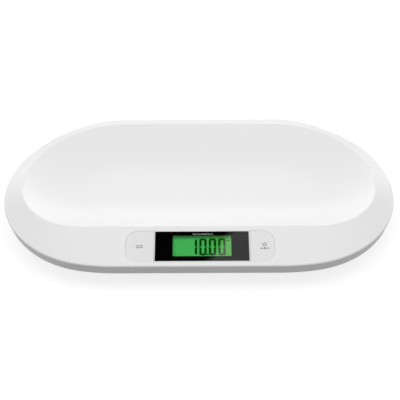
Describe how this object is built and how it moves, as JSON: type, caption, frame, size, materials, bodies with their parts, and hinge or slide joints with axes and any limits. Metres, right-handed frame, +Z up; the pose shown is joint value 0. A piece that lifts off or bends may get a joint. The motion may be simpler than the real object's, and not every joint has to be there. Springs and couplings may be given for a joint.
{
  "type": "digital baby weighing scale",
  "caption": "Low oval baby scale with a dished tray, a front panel with a lit display between two press keys, sensor feet and a battery bay underneath.",
  "frame": {"origin": "centre of the outline on the floor, where the feet rest", "axes": "+X to the right of a person who faces the display, +Y to the back, +Z up; the display is on the -Y side"},
  "size_m": [0.556, 0.328, 0.062],
  "materials": {
    "tray_white": "polished",
    "base_grey": "fine satin",
    "key_white": "satin",
    "lens_clear": "polished",
    "film_black": "printed film",
    "display_green": "lit from behind",
    "figure_dark": "matt",
    "foam_black": "foam",
    "holder_white": "matt",
    "guide_clear": "clear",
    "strip_grey": "matt",
    "board_green": "solder mask",
    "component_black": "moulded",
    "stem_red": "moulded",
    "steel": "bright zinc",
    "pad_rubber": "matt",
    "cell_wrap": "printed film, left plain",
    "lead_white": "soft sheath",
    "lead_red": "soft sheath"
  },
  "bodies": {
    "housing": {"tray_shell": "tray_white", "base_shell": "base_grey", "panel_bezel": "tray_white", "display_lens": "lens_clear", "lens_mask": "film_black", "lens_gasket": "foam_black", "display_glass": "display_green", "readout_figures": "figure_dark", "display_holder": "holder_white", "light_guide": "guide_clear", "contact_strips": "strip_grey", "main_board": "board_green", "board_components": "component_black", "board_screws": "steel", "unit_switch": "component_black", "power_switch": "component_black", "battery_cells": "cell_wrap", "battery_springs": "steel", "battery_plates": "steel", "sensor_bridge_front_left": "steel", "sensor_bridge_front_right": "steel", "sensor_bridge_rear_left": "steel", "sensor_bridge_rear_right": "steel", "bridge_screws": "steel", "housing_screws": "steel", "lead_front_left": "lead_white", "lead_front_right": "lead_white", "lead_rear_left": "lead_white", "lead_rear_right": "lead_white", "battery_lead": "lead_red"},
    "unit_key_body": {"unit_key": "key_white", "unit_switch_stem": "stem_red"},
    "power_key_body": {"power_key": "key_white", "power_switch_stem": "stem_red"},
    "battery_door_body": {"battery_door": "base_grey"},
    "foot_body_front_left": {"foot_front_left": "base_grey", "foot_pad_front_left": "pad_rubber", "load_cell_front_left": "steel"},
    "foot_body_front_right": {"foot_front_right": "base_grey", "foot_pad_front_right": "pad_rubber", "load_cell_front_right": "steel"},
    "foot_body_rear_left": {"foot_rear_left": "base_grey", "foot_pad_rear_left": "pad_rubber", "load_cell_rear_left": "steel"},
    "foot_body_rear_right": {"foot_rear_right": "base_grey", "foot_pad_rear_right": "pad_rubber", "load_cell_rear_right": "steel"}
  },
  "joints": [
    {"name": "unit_key_press", "type": "slide", "parent": "housing", "child": "unit_key_body", "axis": [0, 0.1882, -0.9821], "range_m": [0, 0.0006], "stiffness_N_per_m": 3000},
    {"name": "power_key_press", "type": "slide", "parent": "housing", "child": "power_key_body", "axis": [0, 0.1882, -0.9821], "range_m": [0, 0.0006], "stiffness_N_per_m": 3000},
    {"name": "battery_door_hinge", "type": "hinge", "parent": "housing", "child": "battery_door_body", "pos_m": [-0.029, 0.006, 0.01], "axis": [0, 1, 0], "range_deg": [0, 100]},
    {"name": "foot_press_front_left", "type": "slide", "parent": "housing", "child": "foot_body_front_left", "axis": [0, 0, 1], "range_m": [0, 0.0006], "stiffness_N_per_m": 5000, "springref_m": -0.001},
    {"name": "foot_press_front_right", "type": "slide", "parent": "housing", "child": "foot_body_front_right", "axis": [0, 0, 1], "range_m": [0, 0.0006], "stiffness_N_per_m": 5000, "springref_m": -0.001},
    {"name": "foot_press_rear_left", "type": "slide", "parent": "housing", "child": "foot_body_rear_left", "axis": [0, 0, 1], "range_m": [0, 0.0006], "stiffness_N_per_m": 5000, "springref_m": -0.001},
    {"name": "foot_press_rear_right", "type": "slide", "parent": "housing", "child": "foot_body_rear_right", "axis": [0, 0, 1], "range_m": [0, 0.0006], "stiffness_N_per_m": 5000, "springref_m": -0.001}
  ]
}
